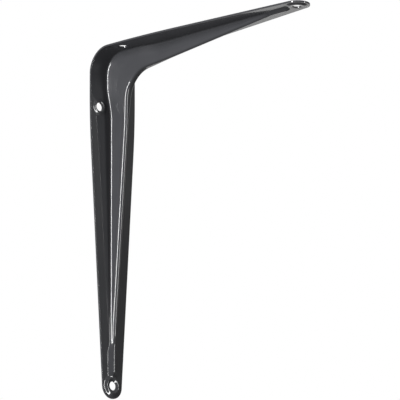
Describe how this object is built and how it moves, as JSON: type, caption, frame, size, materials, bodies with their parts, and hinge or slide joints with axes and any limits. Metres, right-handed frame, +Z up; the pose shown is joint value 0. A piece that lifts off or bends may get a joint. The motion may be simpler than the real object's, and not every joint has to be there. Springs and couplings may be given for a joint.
{
  "type": "shelf bracket",
  "caption": "Black pressed-steel shelf bracket: two tapering arms at a right angle, stiffened by a narrow hollow rib that swells round the inside of the corner.",
  "frame": {"origin": "where the wall plane, the shelf plane and the middle plane of the bracket meet, just outside the rounded corner", "axes": "+X out from the wall along the shelf arm, +Z up out of the top of the shelf arm, +Y to the right as seen from the front"},
  "size_m": [0.153, 0.035, 0.2],
  "materials": {
    "enamel": "gloss black stoving enamel on sheet steel"
  },
  "bodies": {
    "root": {"bracket": "enamel"}
  },
  "joints": []
}
